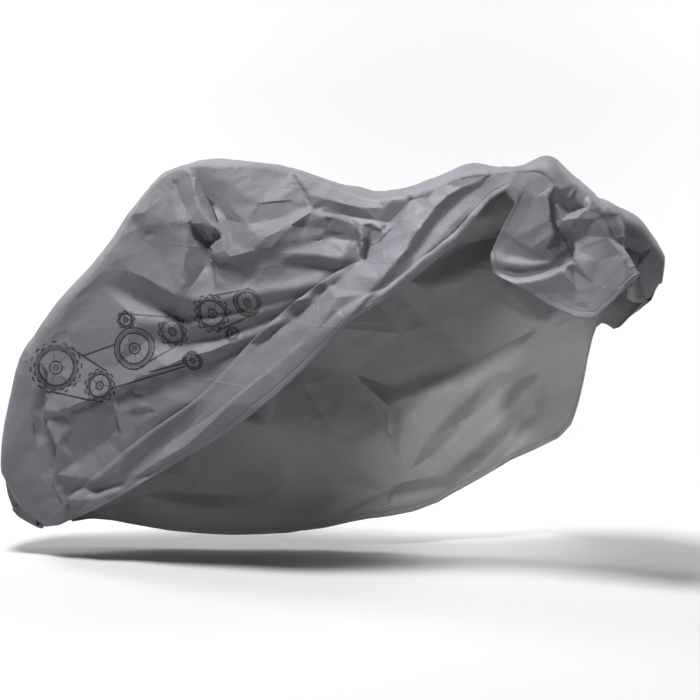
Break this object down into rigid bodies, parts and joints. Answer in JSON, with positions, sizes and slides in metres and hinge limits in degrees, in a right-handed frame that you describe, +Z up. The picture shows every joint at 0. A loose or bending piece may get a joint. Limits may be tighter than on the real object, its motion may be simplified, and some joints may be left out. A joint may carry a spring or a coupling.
{
  "type": "bicycle cover",
  "caption": "Grey film-cloth bicycle cover, draped as over a bicycle, its near hem drawn up to the bars and bunched in front.",
  "frame": {"origin": "the point under the top of the cover where the saddle carries it", "axes": "+X toward the front wheel, +Y away from the side whose hem is drawn up, +Z up"},
  "size_m": [1.5847, 0.4982, 0.9427],
  "materials": {
    "film_outside": "satin",
    "film_inside": "satin"
  },
  "bodies": {
    "root": {"near_side_panel": "film_outside", "far_side_panel": "film_inside"}
  },
  "joints": []
}
